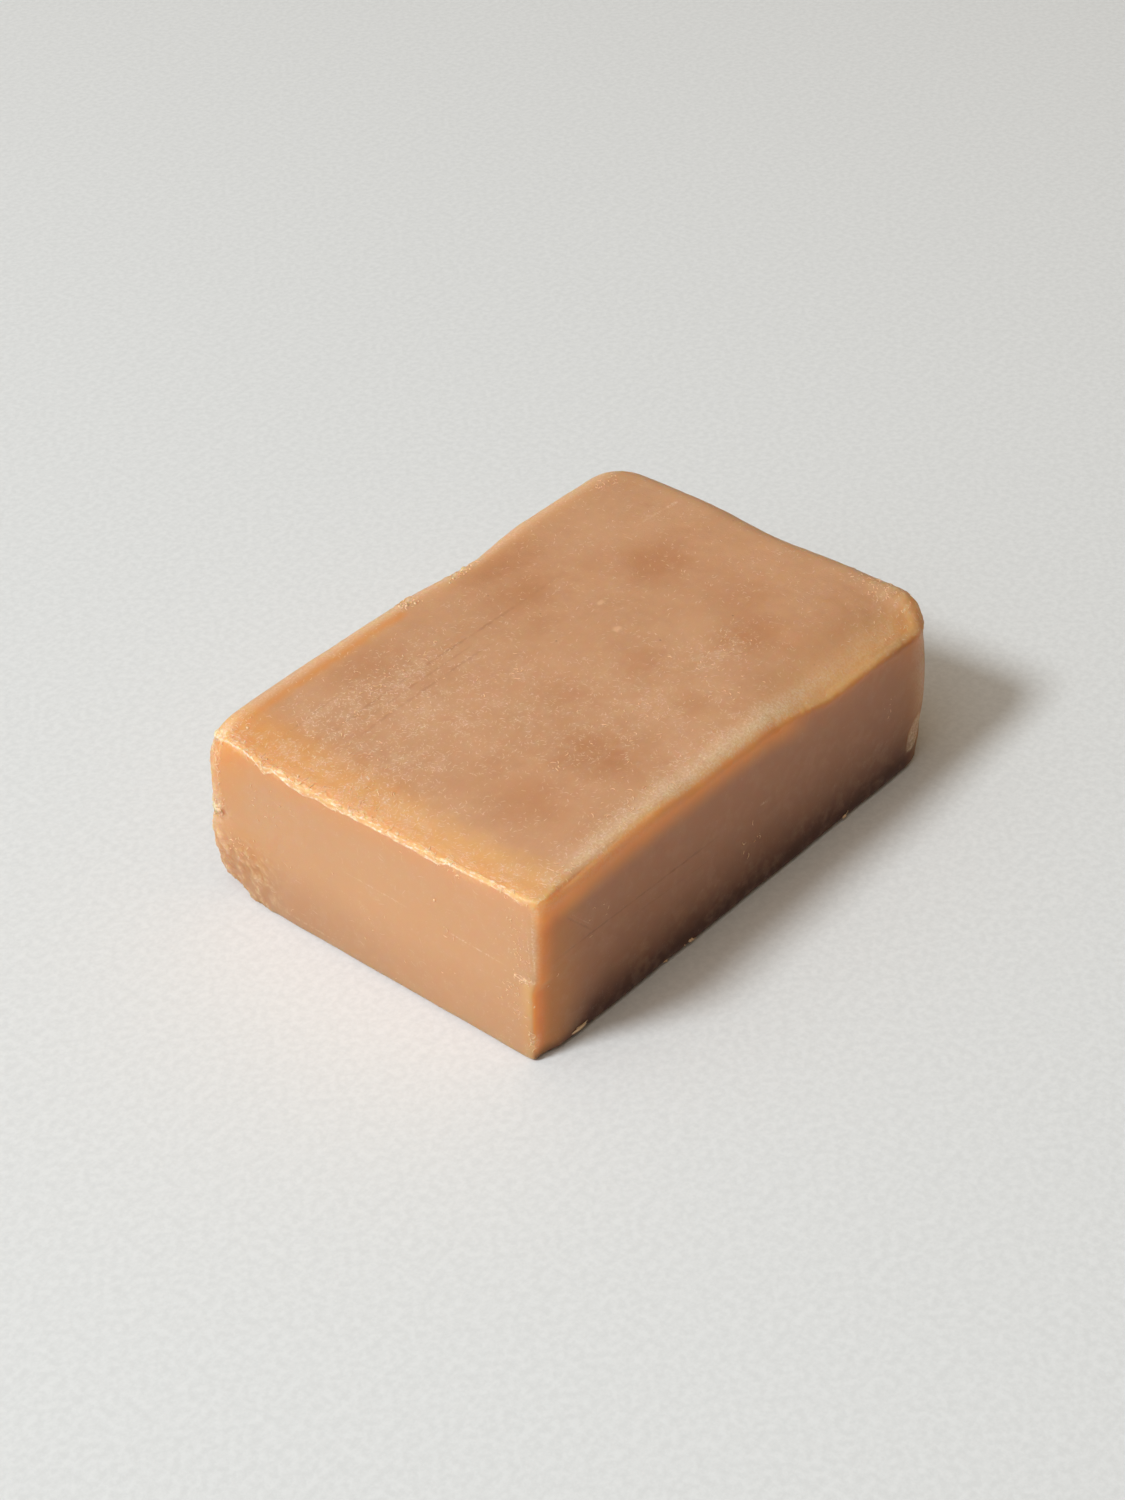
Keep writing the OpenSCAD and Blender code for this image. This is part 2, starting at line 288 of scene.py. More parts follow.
# Where the soap is golden or lit through, which is painted light shining through its edges, amber or pale,
# each in part painted light, darkened by painted shade towards the foot of its front side, a little darker
# low on its end face, or dented, and where fine crumbs cling to it. Each is kept on the skin as a mark
# from 0 to 1.
wander = 0.8 * middling + 0.35 * fine
# Painted light: a golden tint where light shines through the soap near its edges and corners. It also
# brightens the pared slope at the front right, which turns from the lamp.
painted_gold_light = (
    # the band behind the left lip
    ease(past_end, -0.6, 0.3) * (1 - ease(past_end + wander, 2.5, 9)) * (x < -20) * ease(z, 20, 23)
    # the top front edge, and the side just under its left half
    + 0.6 * hump(past_front, 0, 1.2) * (1 - 0.4 * ease(x, 2, 14)) * ease(out[:, 2], 0.2, 0.6)
    + 0.7 * faces_front * ease(z, 23, 24.6) * (1 - ease(x, -2, 8))
    # the crease, and the slope above it
    + 0.8 * hump(past_crease, 0.5, 0.8) * faces_front
    * (0.3 + 0.1 * ease(x, -2, 10) - 0.3 * ease(x, 26, 32))
    + 0.12 * ease(-out[:, 1], 0.03, 0.4) * ease(x, 2, 20) * ease(past_crease, 0, 0.6)
    + 0.5 * hump(past_front, 0.5, 3.5) * ease(x, -2, 14) * top
    # the right and the back rim of the top
    + 0.25 * hump(from_right, 1.5, 2.5) * top * (x > 20)
    + 0.3 * hump(from_back, 1.8, 2.4) * top
    # the front right corner, and the front left one below its step
    + 0.4 * ease(out[:, 0], 0.3, 0.8) * ease(-out[:, 1], -0.2, 0.3)
    + 0.8 * ease(-x, 40.2, 41.2) * ease(-y, 22.8, 25.2) * (1 - ease(z, 12.4, 13.4))
)
back_streak = hump(from_back, 3.6 + 0.3 * middling, 0.7) * ease(x, -40, -30) * (1 - ease(x, -9, -6.5))
# Amber, a deeper orange. At both ends of the front side and along the crease it is painted light, standing
# for light that shines through the corners and the edge.
amber_and_painted_light = (
    # the streak along the back rim, and the top near the left end
    0.75 * back_streak * top
    + (0.35 * hump(y, 20, 6) * hump(x, -38, 3) + 0.3 * hump(x, -35.5, 2.8) * ease(y, -8, 4)) * top
    # both ends of the front side, and the crease
    + 0.9 * front * ease(-x, 31, 40.5)
    + 0.4 * front * ease(x, 28, 36)
    + 0.35 * hump(past_crease, 0.3, 1) * faces_front * ease(x, 3, 12)
    # the end face round the broken corner, under the lip and down the back edge
    + 0.6 * end * hump(y, 20.5, 3.6) * hump(z, 7, 3.6)
    + 0.4 * end * ease(z, 19, 24.5) * ease(y, -30, 25)
    + 0.5 * end * ease(y, 17, 24) * ease(z, 9, 22)
)
painted_glow = (
    # painted light, as if light came through the top front edge into the side below it
    ease(-out[:, 1], 0.3, 0.7) * (1 - ease(abs(past_crease + 0.6), 0.4, 4.4))
    * (0.92 - 0.82 * ease(x, 5, 13)) * (1 - 0.35 * ease(z, 23.3, 24.6))
    # and through the front left corner
    + front * ease(-x, 38, 40.4) * (1 - 0.6 * ease(z, 7, 16))
    + 0.2 * hump(past_front, 1.5, 3.2) * ease(x, 3, 11) * top
)
pale_and_painted_light = (
    # the torn lip and the curdled soap above it
    0.2 * lip * ease(crisp + 0.4 * fine, 0.1, 0.4)
    + 0.3 * curdled * hump(past_end, 0.3, 1.1) * ease(crisp + 0.5 * fine, 0, 0.3)
    # the back left corner above the break
    + 0.42 * back_post * (0.6 + 0.8 * fine)
    # the rubbed rims of the top, and painted light on the pared slope at the front right and on the side
    # just under the left part of the top front edge
    + 0.55 * hump(past_front, 1.7, 1.4) * (1 - ease(x, 4, 24)) * ease(x, -38, -30) * top
    + 0.45 * hump(from_back, 1.9, 1) * ease(out[:, 2], 0.1, 0.5)
    + 0.35 * hump(from_right, 1.2, 1) * ease(z, 20, 22)
    + 0.45 * hump(past_front, 1, 3) * ease(x, 1, 10) * (1 - ease(x, 32, 35)) * top
    + 0.32 * ease(-out[:, 1], 0.2, 0.6) * ease(z, 22.6, 24) * (1 - ease(x, -30, -10))
    + 0.3 * sag * top
    # the front right corner, at its top and down its height
    + 0.4 * hump(x, 37.5, 3) * hump(y, -22, 3) * ease(crisp + fine, 0, 0.4) * ease(z, 19, 22)
    + 0.4 * ease(x, 33.5, 37.5) * ease(-out[:, 1], 0.3, 0.7) * ease(z, 7, 10) * (1 - ease(z, 20, 22))
    # the film down the front left corner, its step, and the nick near its foot
    + 0.36 * hump(y, -25.8, 0.6) * ease(-x, 40, 41.2) * ease(z, 12.4, 13.2) * (1 - ease(z, 23.5, 24.5))
    + 0.7 * hump(y, -24.2, 1) * hump(z, 12.7, 0.4) * ease(-x, 40, 41)
    + 0.8 * hump(y, -25.2, 0.3) * ease(-x, 39.5, 40.5) * hump(z, 3.2, 1.1)
    # torn and broken soap
    + tear * (0.5 + fine)
    + 0.4 * crumble * ease(fine, 0, 0.4)
    + 0.7 * flake
)
crumbs = (
    # the drag marks on the top, the left end and the front edge
    1.0 * hump(y, 15.5, 3.2) * ease(-x, 6, 18) * (1 - ease(-x, 34, 39))
    + 0.6 * hump(y, 5, 8) * ease(-x, 0, 16)
    + 0.7 * hump(x, -38.5, 2.4)
    + 0.8 * hump(past_front, 2.5, 2.4) * (x < 6)
    # patches beside the hollows, and the two right corners
    + 0.8 * hump(x, 11, 5) * hump(y, -13, 3)
    + 0.6 * hump(x, -8, 9) * hump(y, -12, 7)
    + 0.25 * hump(x, 36, 4) * hump(y, -22, 5)
    + 0.4 * hump(x, 32, 3) * hump(y, 23, 2)
    + 0.12
) * top + 0.35 * end * (hump(y, -23, 3) + 0.25)

# Painted shade: the front side is darkened towards its foot, less so at both ends, and in a thin strip
# along the crease at the right. The end face is a little darker towards its foot.
foot_z = z + 0.5 * middling
painted_shade = np.interp(
    foot_z, (0, 2, 3, 5, 7, 10, 14, 18, 21), (0.95, 0.9, 0.8, 0.61, 0.46, 0.3, 0.15, 0.05, 0)
)
painted_shade = painted_shade * front + 0.35 * hump(past_crease, 0.2, 0.6) * faces_front * ease(x, 24, 32)
painted_shade = painted_shade * (1 - 0.85 * ease(-x, np.interp(z, (0, 8), (33, 25)), 39.5) * ease(z, 0, 2.5))
painted_shade = painted_shade * (1 - 0.45 * ease(x, 32, 37))
end_foot_darker = end * (1 - ease(foot_z, 1, 13)) * (0.6 + 0.4 * ease(y, -12, 12))

lip_shift, lip_scale = 0.1, 10
for name, value in (
    ("painted_gold_light", painted_gold_light), ("amber_and_painted_light", amber_and_painted_light), ("painted_glow", painted_glow), ("pale_and_painted_light", pale_and_painted_light), ("dent", dent),
    ("crumbs", crumbs), ("painted_shade", painted_shade), ("end_foot_darker", end_foot_darker),
    ("end", end), ("front", front), ("top", top), ("lip", lip), ("lip side", lip_side),
    ("past lip", lip_shift + np.clip(past_lip, -1, 5) / lip_scale),
):
    layer = bar_mesh.attributes.new(name, "FLOAT", "POINT")
    layer.data.foreach_set("value", np.clip(value, 0, 1).astype(np.float32))


class Tone:
    """An output of a finish's nodes. Sums on it add Math nodes."""

    def __init__(self, tree, socket):
        self.tree, self.socket = tree, socket

    def node(self, kind, settings=None, values=None, output=0):
        """Adds any node: its type, its settings, and the values or links of its sockets."""
        made = self.tree.nodes.new(kind)
        for key, value in (settings or {}).items():
            setattr(made, key, value)
        for key, value in (values or {}).items():
            if isinstance(value, Tone):
                self.tree.links.new(value.socket, made.inputs[key])
            else:
                made.inputs[key].default_value = value
        return Tone(self.tree, made.outputs[output])

    def math(self, operation, other, swapped=False):
        first, second = (other, self) if swapped else (self, other)
        return self.node("ShaderNodeMath", {"operation": operation}, {0: first, 1: second})

    def __add__(self, other):
        return self.math("ADD", other)

    def __sub__(self, other):
        return self.math("SUBTRACT", other)

    def __rsub__(self, other):
        return self.math("SUBTRACT", other, swapped=True)

    def __mul__(self, other):
        return self.math("MULTIPLY", other)

    __radd__, __rmul__ = __add__, __mul__

    def ease(self, start, end):
        """0 before start, 1 past end, and smooth between them."""
        return self.node(
            "ShaderNodeMapRange",
            {"interpolation_type": "SMOOTHSTEP"},
            {"Value": self, "From Min": start, "From Max": end},
        )

    def vector(self, operation, other, output=0):
        return self.node("ShaderNodeVectorMath", {"operation": operation}, {0: self, 1: other}, output)

    def tint(self, colour, amount):
        """Mixes a colour in, by an amount from 0 to 1."""
        return self.node("ShaderNodeMix", {"data_type": "RGBA"}, {0: amount, 6: self, 7: colour}, 2)

    def feed(self, shader, name):
        """Links it to a socket of a shader."""
        self.tree.links.new(self.socket, shader.inputs[name])


def ink(red, green, blue):
    """The light that a screen colour, 0 to 255, stands for."""
    parts = [v / 255 for v in (red, green, blue)]
    light = [(v + 0.055) ** 2.4 / 1.055 ** 2.4 if v > 0.04 else v / 12.92 for v in parts]
    return (*light, 1)


soap = bpy.data.materials.new("soap")
soap.use_nodes = True
soap_tree = soap.node_tree
soap_shader = soap_tree.nodes["Principled BSDF"]


def spot_on(tree):
    """Where a point of a piece lies, in millimetres."""
    metres = Tone(tree, None).node("ShaderNodeTexCoord", output="Object")
    return metres.node("ShaderNodeVectorMath", {"operation": "SCALE"}, {0: metres, "Scale": metre})


place = spot_on(soap_tree)
along_x, along_y, along_z = (place.node("ShaderNodeSeparateXYZ", {}, {0: place}, i) for i in range(3))


def mark(name):
    """One of the marks kept on the skin, 0 to 1."""
    return place.node("ShaderNodeAttribute", {"attribute_name": name}, output="Fac")


def speckle(at, size, detail=2, stretch=(1, 1, 1), turn=(0, 0, 0), rough=0.5):
    """Soft random spots of about a size in millimetres."""
    at = at.node("ShaderNodeMapping", {}, {"Vector": at, "Rotation": turn, "Scale": stretch})
    return at.node(
        "ShaderNodeTexNoise", {}, {"Vector": at, "Scale": 1 / size, "Detail": detail, "Roughness": rough}
    )


def wavy_line(tail, head, width, faded=1):
    """A thin, slightly wandering score between two points, which fades at both ends if it is
    over 2 mm long. None drops an axis, so the score lies on a face."""
    flat = tuple(0 if v is None else 1 for v in tail)
    tail, head = (Vector([v or 0 for v in point]) for point in (tail, head))
    run = head - tail
    off = place.vector("MULTIPLY", flat).vector("SUBTRACT", tail)
    along = off.vector("DOT_PRODUCT", run / run.length_squared, "Value")
    near = along.node("ShaderNodeClamp", {}, {"Value": along})
    nearest = near.node("ShaderNodeVectorMath", {"operation": "SCALE"}, {0: run, "Scale": near})
    away = off.vector("DISTANCE", nearest, "Value") + (wobble - 0.5) * (width + 0.25)
    ends = near.ease(0, 0.25) * (1 - near.ease(0.7, 1)) if run.length > 2 else 1
    return (1 - away.ease(width * 0.2, width)) * ends * faded


def fibres(size, across, up, share, thin):
    """Short curved fibres of rubbed-up soap, lying every which way on a face, one to a cell."""
    full_turn = 6.283
    flat = across.node("ShaderNodeCombineXYZ", {}, {0: across, 1: up})
    cell = {"Vector": flat, "Scale": 1 / size, "Randomness": 1}
    centre = flat.node("ShaderNodeTexVoronoi", {"voronoi_dimensions": "2D"}, cell, "Position")
    draw = flat.node("ShaderNodeTexVoronoi", {"voronoi_dimensions": "2D"}, cell, "Color")
    turn, bend, lot = (draw.node("ShaderNodeSeparateColor", {}, {0: draw}, i) for i in range(3))
    off = flat.vector("SUBTRACT", centre)
    off = off.node(
        "ShaderNodeVectorRotate", {"rotation_type": "Z_AXIS"}, {"Vector": off, "Angle": turn * full_turn}
    )
    run, rise = (off.node("ShaderNodeSeparateXYZ", {}, {0: off}, i) for i in (0, 1))
    arc = rise + run * run * (bend - 0.5) * (2.4 / size)
    arc = 1 - arc.math("ABSOLUTE", 0).ease(thin * 0.3, thin)
    reach = 1 - run.math("ABSOLUTE", 0).ease(size * 0.18, size * 0.5)
    return arc * reach * (share - lot).ease(0, 0.12)


cloud = speckle(place, 9, 3).ease(0.3, 0.7)
fleck = speckle(place, 1.6, 4)
dust = speckle(place, 0.32, 3, rough=0.65)
patches = speckle(place, 4, 3).ease(0.34, 0.62)
wobble = speckle(place, 0.8, 2)
broken = speckle(place, 2.2, 3).ease(0.36, 0.6)

colour = place.node(
    "ShaderNodeMix", {"data_type": "RGBA"}, {0: cloud, 6: ink(210, 158, 117), 7: ink(203, 150, 109)}, 2
)
colour = colour.tint(ink(213, 157, 109), mark("end") * 0.9)
# Painted shade: the front side, which lies in shade, is given a darker, deeper copy of the soap's colour.
colour = colour.tint(ink(194, 127, 84), mark("front") * 0.85)
colour = colour.tint(ink(190, 129, 85), mark("dent") * 0.8)
# Painted light: golden where light shines through the edges.
colour = colour.tint(ink(233, 175, 107), mark("painted_gold_light") * 0.8)
# Amber, in part painted light at the ends of the front side and at the crease.
colour = colour.tint(ink(222, 144, 62), mark("amber_and_painted_light") * 0.85)
# Painted light: the glow of light come through the top front edge and the front left corner.
colour = colour.tint(ink(255, 170, 82), mark("painted_glow") * 0.9)
# Painted shade: darker towards the foot of the front side.
colour = colour.tint(ink(64, 17, 0), mark("painted_shade"))
# The end face a little darker towards its foot.
colour = colour.tint(ink(186, 134, 94), mark("end_foot_darker") * 0.85)

# The wire and fingers dragged thin dark lines along the top and the front side.
drags = (
    wavy_line((-37, 14.2, None), (16, 13.5, None), 0.3, 0.8)
    + wavy_line((-35, 10.9, None), (-1, 10.5, None), 0.28, 0.6)
    + wavy_line((-31, 12.5, None), (-4, 12.2, None), 0.22, 0.5)
    + wavy_line((-37, 18.4, None), (-24, 18.3, None), 0.25, 0.5)
    + wavy_line((-40, None, 15), (-3, None, 13.8), 0.22, 1)
    + wavy_line((-36.6, None, 20.6), (-31.3, None, 14.8), 0.18, 0.9)
    + wavy_line((-26, None, 12.4), (-4, None, 11.1), 0.16, 0.6)
)
on_faces = mark("top") * 0.45 + mark("front") * 0.6
colour = colour.tint(ink(160, 104, 64), drags * (broken * 0.8 + 0.2) * on_faces)

# A faint whitish bloom, with fine fibres and grit of rubbed-up soap lying in it.
mottle = (mark("front") * 0.12 + mark("end") * 0.1) * patches * fleck.ease(0.4, 0.62)
colour = colour.tint(ink(214, 172, 140), mottle)
bloom = (mark("crumbs") * 0.8 + 0.08) * (patches * 0.8 + 0.2)
colour = colour.tint(ink(226, 186, 150), bloom * mark("top") * fleck.ease(0.3, 0.7) * 0.5)
hairs = (
    fibres(0.8, along_x, along_y, bloom * 0.8 + 0.08, 0.07)
    + fibres(0.55, along_y, along_x, bloom * 1.2, 0.06)
) * mark("top") + fibres(1.3, along_y, along_z, patches * 0.2, 0.07) * mark("end") * 0.5
colour = colour.tint(ink(240, 208, 176), hairs * (dust.ease(0.3, 0.6) * 0.4 + 0.3))
grit = dust.ease(0.58, 0.66) * fleck.ease(0.44, 0.58)
colour = colour.tint(ink(240, 212, 180), grit * (mark("crumbs") * 0.7 + 0.08))

# Whitish scores on each face, and two small spots on the top.
end_scores = (
    wavy_line((None, -11.5, 13.8), (None, -22, 13.4), 0.16, 0.7)
    + wavy_line((None, 5, 14.1), (None, -7, 14.1), 0.15, 0.5)
    + wavy_line((None, 17, 1.9), (None, 5, 1.7), 0.2, 0.3)
    + wavy_line((None, -25.4, 23.6), (None, -25.5, 13.2), 0.18, 0.9)
    + wavy_line((None, -24.8, 21), (None, -25, 14), 0.14, 0.5)
)
top_scores = (
    wavy_line((26, 13, None), (33.5, 12.6, None), 0.25, 0.5)
    + wavy_line((33.3, 12.5, None), (34.8, 12.4, None), 0.4, 0.8)
)
front_scores = (
    wavy_line((-36.2, None, 20.9), (-31, None, 15.2), 0.1, 0.35)
    + wavy_line((1.4, None, 13.4), (2.6, None, 13.2), 0.3, 0.6)
)
scores = end_scores * mark("end") + top_scores * mark("top") + front_scores * mark("front")
colour = colour.tint(ink(238, 206, 170), scores * dust.ease(0.42, 0.56) * 0.7)
spots = (
    wavy_line((6.2, 0, None), (6.5, 0.1, None), 0.75)
    + wavy_line((9.6, 5.4, None), (9.9, 5.5, None), 0.65)
)
colour = colour.tint(ink(236, 192, 148), spots * mark("top") * 0.6)

# The lip over the left end: whitish along its torn lower side, with whitish streaks above.
above_lip = (mark("past lip") - lip_shift) * lip_scale + (dust - 0.5) * 0.5
streaks = speckle(place, 0.3, 4, (1, 0.3, 1), (0, 0, 0.12), rough=0.65)
torn = above_lip.ease(-0.1, 0.05) * (1 - above_lip.ease(0.14, 0.4)) * mark("lip side")
wisps = streaks.ease(0.53, 0.62) * above_lip.ease(0, 0.2) * (1 - above_lip.ease(0.8, 3)) * mark("lip side")
colour = colour.tint(ink(236, 180, 118), mark("lip") * 0.45)
colour = colour.tint(ink(250, 230, 204), torn * (wobble.ease(0.42, 0.66) * 0.5 + 0.1) + wisps * 0.6)
# The pale marks: whitish soap, and in part painted light near the top front edge.
colour = colour.tint(ink(243, 214, 176), mark("pale_and_painted_light") * (0.4 + dust.ease(0.4, 0.6) * 0.5))
pits = place.node("ShaderNodeTexVoronoi", {}, {"Vector": place, "Scale": 0.16, "Randomness": 1})
colour = colour.tint(ink(120, 70, 38), (1 - pits.ease(0.012, 0.035)) * 0.6)

colour.feed(soap_shader, "Base Color")

# Waxy sheen, with the fine lines of the wire across the top, and light that sinks in.
rough = 0.5 + (fleck - 0.5) * 0.15 + mark("pale_and_painted_light") * 0.1
rough.feed(soap_shader, "Roughness")
cut_lines = speckle(place, 0.35, 2, (0.02, 1, 1)).ease(0.3, 0.75)
bumps = dust * 0.3 + fleck * 0.35 + cut_lines * mark("top") * 0.2 + hairs * 0.5 - drags * 0.4
bump = bumps.node("ShaderNodeBump", {}, {"Height": bumps, "Strength": 0.35, "Distance": 0.0002})
bump.feed(soap_shader, "Normal")
soap_shader.subsurface_method = "RANDOM_WALK"
soap_shader.inputs["Subsurface Weight"].default_value = 0.85
soap_shader.inputs["Subsurface Radius"].default_value = (1, 0.36, 0.12)
soap_shader.inputs["Subsurface Scale"].default_value = 0.006
soap_shader.inputs["Specular IOR Level"].default_value = 0.45

bar_mesh.materials.clear()
bar_mesh.materials.append(soap)
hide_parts("soap_bar")
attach(bar, "root")

# Shavings
# Thin curls and crumbs of the same soap, rubbed up by the wire and by handling. They cling to the
# left lip, the corners, the back edge and the foot of the front side.
dried = bpy.data.materials.new("dried soap")
dried.use_nodes = True
dried_shader = dried.node_tree.nodes["Principled BSDF"]
dried_shader.inputs["Base Color"].default_value = ink(247, 207, 160)
dried_shader.inputs["Roughness"].default_value = 0.5

chance = np.random.default_rng(7)
loose = bmesh.new()
skin_tree = BVHTree.FromPolygons(
    [tuple(v.co * metre) for v in bar_mesh.vertices], [tuple(f.vertices) for f in bar_mesh.polygons]
)
down, inward, forward = Vector((0, 0, -1)), Vector((0, 1, 0)), Vector((1, 0, 0))


def curl(foot, normal, long, wide, bow, lie=None):
    """A thin ribbon that lies on the skin, lifts off it in its middle and tapers to both ends. It
    lies every which way, unless a way is given."""
    rows_along, thick, clear = 7, 0.03, 0.03
    turn = Matrix.Rotation(chance.uniform(0, 2 * math.pi), 3, normal)
    run = turn @ normal.orthogonal().normalized()
    if lie is not None:
        run = (lie - normal * lie.dot(normal)).normalized()
    side = normal.cross(run)
    rows = []
    for step in range(rows_along):
        t = step / (rows_along - 1) - 0.5
        middle = foot + run * long * t + side * bow * (1 - 4 * t * t)
        middle = middle + normal * (clear + 0.04 * long * (1 - 5 * t * t))
        half = wide / 2 * math.sqrt(1.08 - 4 * t * t)
        rows.append([
            loose.verts.new(middle + side * a * half + normal * b * thick)
            for a, b in ((1, 0), (0, 1), (-1, 0), (0, -1))
        ])
    for row, following in zip(rows, rows[1:]):
        for k in range(4):
            j = (k + 1) % 4
            loose.faces.new((row[k], row[j], following[j], following[k]))
    loose.faces.new(rows[0][::-1])
    loose.faces.new(rows[-1])


def crumb(foot, normal, wide):
    """A small lump of soap, half sunk in the skin."""
    made = bmesh.ops.create_icosphere(loose, subdivisions=1, radius=wide / 2)["verts"]
    stretch = Vector(chance.uniform(0.55, 1.3, 3))
    for v in made:
        v.co = foot + normal * 0.1 * wide + v.co * stretch * chance.uniform(0.8, 1.2)


# Where they lie: the heart of each cluster and how far it scatters, the way a ray looks for the
# skin, how many curls of which length, and how many crumbs of which width.
clusters = (
    ((-41, -22, 26), (0.7, 3, 0), down, 18, 0.7, 4, 0.25),
    ((-41.3, -13, 26), (0.5, 1.6, 0), down, 26, 0.7, 6, 0.3),
    ((-41, 3, 26), (0.6, 8, 0), down, 40, 0.7, 8, 0.25),
    ((-41, 17, 26), (0.8, 4.5, 0), down, 45, 0.8, 12, 0.3),
    ((-39, 24, 26), (1.8, 0.8, 0), down, 14, 0.7, 5, 0.3),
    ((-36, -24.6, 26), (3.5, 0.8, 0), down, 20, 0.6, 3, 0.2),
    ((-20, -23.5, 26), (4, 1.5, 0), down, 26, 0.6, 4, 0.2),
    ((-37, 2, 26), (1.5, 1.5, 0), down, 16, 0.6, 0, 0.2),
    ((-21, 16, 26), (5, 1.8, 0), down, 36, 0.5, 4, 0.16),
    ((-28, 9, 26), (6, 4, 0), down, 24, 0.5, 2, 0.16),
    ((-20, -12, 26), (0.8, 0.8, 0), down, 6, 0.6, 1, 0.25),
    ((-10, 4, 26), (2.5, 1.5, 0), down, 10, 0.5, 0, 0.2),
    ((-8, -14, 26), (4, 3, 0), down, 18, 0.5, 0, 0.2),
    ((11, -13, 26), (3.5, 1.6, 0), down, 20, 0.5, 0, 0.2),
    ((5, -19, 26), (2.5, 1.5, 0), down, 10, 0.5, 0, 0.2),
    ((-5.7, 25, 26), (1, 0.7, 0), down, 12, 0.6, 10, 0.45),
    ((3.4, 24.2, 26), (1.8, 0.6, 0), down, 12, 0.6, 9, 0.35),
    ((33, 23, 26), (1.8, 0.8, 0), down, 12, 0.5, 5, 0.25),
    ((37, -20, 26), (1, 2.4, 0), down, 36, 0.45, 16, 0.22),
    ((31, -24.5, 26), (2, 1, 0), down, 10, 0.5, 3, 0.2),
    ((29, -60, 12), (0.5, 0, 0.7), inward, 3, 0.4, 3, 0.2),
    ((0, -60, 9.5), (1.6, 0, 1.6), inward, 6, 0.7, 2, 0.16),
    ((-30, -60, 17), (2, 0, 2), inward, 6, 0.5, 0, 0.2),
    ((-13, -60, 0.7), (0.5, 0, 0.2), inward, 1, 0.9, 4, 0.5),
    ((-17, -60, 0.7), (0.6, 0, 0.2), inward, 0, 0.9, 3, 0.35),
    ((18.5, -60, 0.7), (0.6, 0, 0.2), inward, 1, 0.8, 3, 0.4),
    ((-60, 25.4, 13.2), (0, 0.5, 0.7), forward, 12, 0.7, 10, 0.4),
    ((-60, 21.5, 8.6), (0, 1.3, 1.1), forward, 12, 0.45, 6, 0.22),
    ((-60, 25, 19), (0, 0.4, 4), forward, 18, 0.7, 5, 0.25),
    ((-60, -23.4, 17.5), (0, 0.9, 3), forward, 44, 0.35, 8, 0.16),
    ((-60, -24.4, 12.7), (0, 0.8, 0.25), forward, 16, 0.6, 8, 0.3),
    ((-60, -22.8, 9), (0, 1, 1.6), forward, 20, 0.4, 8, 0.18),
    ((-60, -25, 3.2), (0, 0.15, 0.7), forward, 6, 0.8, 2, 0.25),
    ((-60, 17, 18.5), (0, 2, 1.6), forward, 12, 0.45, 2, 0.16),
    ((-60, 0, 12), (0, 14, 6), forward, 16, 0.3, 3, 0.12),
)
lowest = 0.35
for heart, scatter, toward, curls, long, crumbs_here, wide in clusters:
    for number in range(curls + crumbs_here):
        from_here = Vector(heart) + Vector(chance.normal(0, 1, 3) * scatter)
        from_here.z = max(from_here.z, lowest)
        foot, normal, _, _ = skin_tree.ray_cast(from_here, toward)
        if foot is None:
            continue
        if number < curls:
            size = long * chance.uniform(0.5, 1.3)
            curl(foot, normal, size, chance.uniform(0.08, 0.16), size * chance.uniform(-0.3, 0.3))
        else:
            crumb(foot, normal, wide * chance.uniform(0.5, 1.2))

# Two larger curls lie along the foot of the front side.
foot, normal, _, _ = skin_tree.ray_cast(Vector((-34, -60, 1)), inward)
curl(foot, normal, 2.6, 0.7, 0.1, forward)
curl(foot + Vector((0.5, 0, 0.3)), normal, 2.1, 0.5, -0.1, forward)

inset = 0.01
for v in loose.verts:
    v.co = [min(max(c, a + inset), b - inset) for c, a, b in zip(v.co, low, high)]
bmesh.ops.recalc_face_normals(loose, faces=loose.faces)
bmesh.ops.scale(loose, vec=(1 / metre, 1 / metre, 1 / metre), verts=loose.verts)
shavings_mesh = bpy.data.meshes.new("shavings")
loose.to_mesh(shavings_mesh)
loose.free()
shavings_mesh.materials.append(dried)
for f in shavings_mesh.polygons:
    f.use_smooth = True
shavings = bpy.data.objects.new("shavings", shavings_mesh)
scene.collection.objects.link(shavings)
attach(shavings, "root")

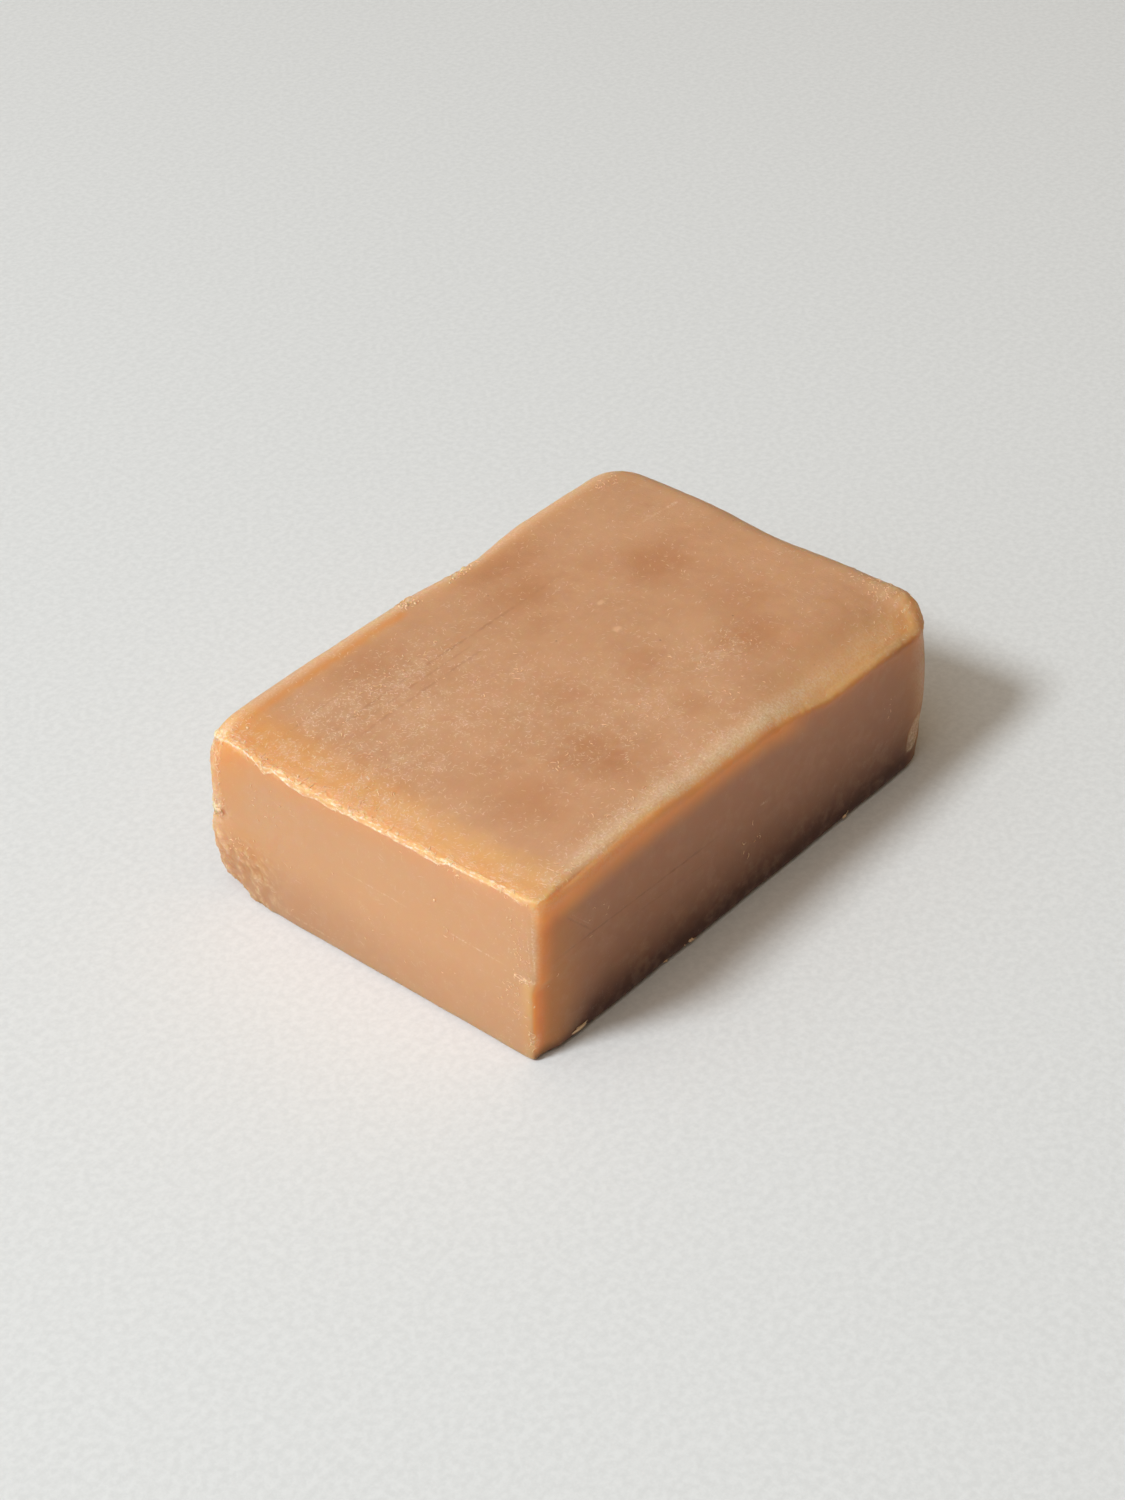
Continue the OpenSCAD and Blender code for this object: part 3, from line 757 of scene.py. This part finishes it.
# Table
# A wide sheet of pale matt paper with a fine tooth. It lies a hair below the bar, takes its
# shadow and runs on behind it as the backdrop.
sheet = bmesh.new()
bmesh.ops.create_grid(sheet, x_segments=1, y_segments=1, size=4)
table_mesh = bpy.data.meshes.new("table")
sheet.to_mesh(table_mesh)
sheet.free()
table = bpy.data.objects.new("table", table_mesh)
table.location.z = -0.00002
scene.collection.objects.link(table)

paper = bpy.data.materials.new("paper")
paper.use_nodes = True
paper_shader = paper.node_tree.nodes["Principled BSDF"]
tooth = speckle(spot_on(paper.node_tree), 1, 4, rough=0.65)
shade = tooth.node(
    "ShaderNodeMix", {"data_type": "RGBA"},
    {0: tooth.ease(0.3, 0.7), 6: ink(220, 218, 213), 7: ink(229, 227, 222)}, 2,
)
shade.feed(paper_shader, "Base Color")
paper_bump = tooth.node("ShaderNodeBump", {}, {"Height": tooth, "Strength": 0.11, "Distance": 0.0002})
paper_bump.feed(paper_shader, "Normal")
paper_shader.inputs["Roughness"].default_value = 0.9
paper_shader.inputs["Specular IOR Level"].default_value = 0.2
table_mesh.materials.append(paper)

# Light
# A soft lamp high on the left, over the bar's back left corner, with a cool glow round it, and
# a warmer light straight overhead, so the front side stays in shade.
lamp_way = Vector((-0.656, 0.239, 0.716))
lamp = bpy.data.objects.new("lamp", bpy.data.lights.new("lamp", "AREA"))
lamp.data.shape, lamp.data.size = "DISK", 0.38
lamp.data.energy, lamp.data.color = 21, (0.815, 0.905, 1)
lamp.location = lamp_way * 1.6
lamp.rotation_euler = lamp_way.to_track_quat("Z", "Y").to_euler()
scene.collection.objects.link(lamp)

room = bpy.data.worlds.new("room")
room.use_nodes = True
scene.world = room
back = room.node_tree.nodes["Background"]
way = Tone(room.node_tree, None).node("ShaderNodeTexCoord", output="Generated")


def shine(toward, colour):
    """Light from one side of the room, strongest along a direction."""
    facing = way.vector("DOT_PRODUCT", toward, "Value").math("MAXIMUM", 0)
    strength = facing.math("POWER", 4)
    return way.node("ShaderNodeVectorMath", {"operation": "SCALE"}, {0: colour, "Scale": strength})


light = shine((0, 0, 1), (0.79, 0.62, 0.40)).vector("ADD", shine(lamp_way, (0.85, 0.96, 1.12)))
seen = light.node("ShaderNodeLightPath", output="Is Camera Ray")
light = light.tint((0.68, 0.67, 0.65, 1), seen)
light.feed(back, "Color")

scene.view_settings.view_transform = "Standard"
